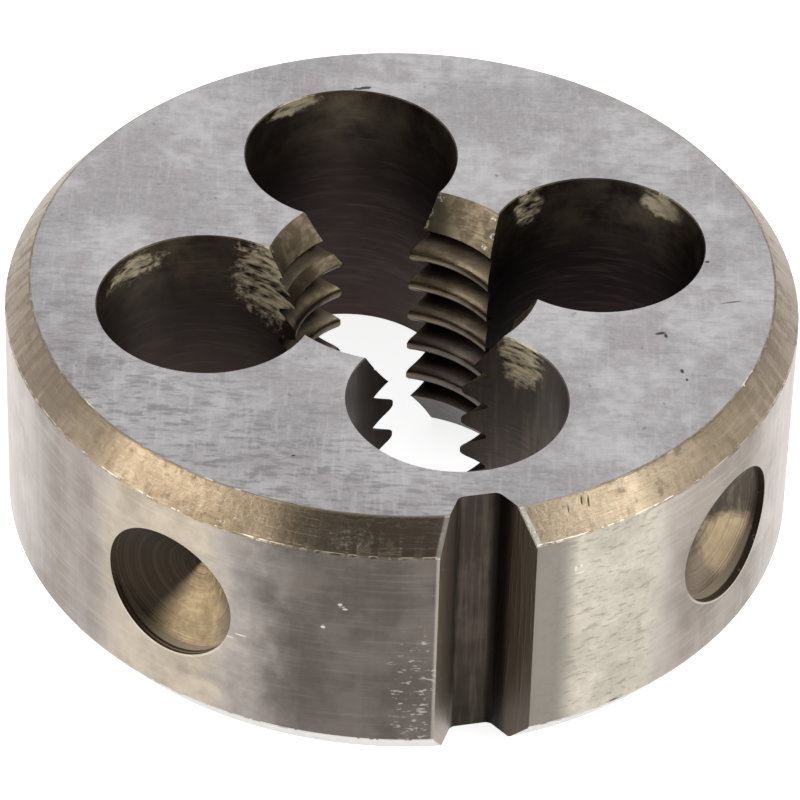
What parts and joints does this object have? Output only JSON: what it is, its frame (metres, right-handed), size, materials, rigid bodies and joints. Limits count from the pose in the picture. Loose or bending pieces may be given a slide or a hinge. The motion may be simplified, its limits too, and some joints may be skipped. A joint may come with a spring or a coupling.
{
  "type": "round threading die",
  "caption": "Round one-piece die for cutting an external M8 thread, with chip holes, an adjusting slot and screw detents in its side.",
  "frame": {"origin": "centre of the lower face, on the axis of the thread", "axes": "+Z along the thread's axis, out of the upper face; the adjusting slot faces -Y, and +X is to its right"},
  "size_m": [0.0254, 0.0253, 0.0095],
  "materials": {
    "tool_steel": "ground faces and side, straw-tempered chamfers, dark chip holes"
  },
  "bodies": {
    "root": {"die_body": "tool_steel"}
  },
  "joints": []
}
